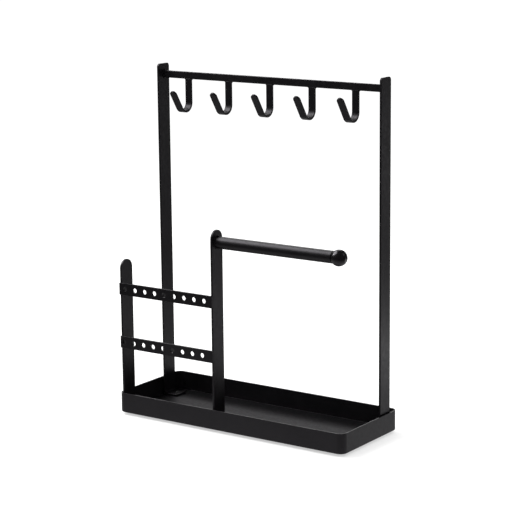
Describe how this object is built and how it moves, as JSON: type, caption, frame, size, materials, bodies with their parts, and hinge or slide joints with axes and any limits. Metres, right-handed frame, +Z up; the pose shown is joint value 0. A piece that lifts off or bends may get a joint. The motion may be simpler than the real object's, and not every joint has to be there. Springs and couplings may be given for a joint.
{
  "type": "desktop hook stand",
  "caption": "Black steel desktop stand: shallow tray, tall rear frame with J hooks, low front frame with perforated bars and a horizontal rod ending in a ball knob.",
  "frame": {"origin": "middle of the tray's length and width, on the surface the rubber pads stand on", "axes": "+X along the tray towards the end with the ball knob, +Y from the front frame to the tall hook frame, +Z up"},
  "size_m": [0.252, 0.095, 0.328],
  "materials": {
    "tray": "satin black powder coat on steel",
    "left_tall_post": "satin black powder coat on steel",
    "right_tall_post": "satin black powder coat on steel",
    "front_left_post": "satin black powder coat on steel",
    "rod_post": "satin black powder coat on steel",
    "hook_rail": "satin black powder coat on steel",
    "hook_1": "satin black powder coat on steel",
    "hook_2": "satin black powder coat on steel",
    "hook_3": "satin black powder coat on steel",
    "hook_4": "satin black powder coat on steel",
    "hook_5": "satin black powder coat on steel",
    "upper_bar": "satin black powder coat on steel",
    "lower_bar": "satin black powder coat on steel",
    "cross_rod": "satin black powder coat on steel",
    "rod_knob": "satin black powder coat on steel",
    "rod_screw": "zinc-plated steel",
    "foot_screw_1": "zinc-plated steel",
    "foot_screw_2": "zinc-plated steel",
    "foot_screw_3": "zinc-plated steel",
    "foot_screw_4": "zinc-plated steel",
    "rubber_pad_1": "matt black rubber",
    "rubber_pad_2": "matt black rubber",
    "rubber_pad_3": "matt black rubber",
    "rubber_pad_4": "matt black rubber"
  },
  "bodies": {
    "root": {"tray": "tray", "left_tall_post": "left_tall_post", "right_tall_post": "right_tall_post", "front_left_post": "front_left_post", "rod_post": "rod_post", "hook_rail": "hook_rail", "hook_1": "hook_1", "hook_2": "hook_2", "hook_3": "hook_3", "hook_4": "hook_4", "hook_5": "hook_5", "upper_bar": "upper_bar", "lower_bar": "lower_bar", "cross_rod": "cross_rod", "rod_knob": "rod_knob", "rod_screw": "rod_screw", "foot_screw_1": "foot_screw_1", "foot_screw_2": "foot_screw_2", "foot_screw_3": "foot_screw_3", "foot_screw_4": "foot_screw_4", "rubber_pad_1": "rubber_pad_1", "rubber_pad_2": "rubber_pad_2", "rubber_pad_3": "rubber_pad_3", "rubber_pad_4": "rubber_pad_4"}
  },
  "joints": []
}
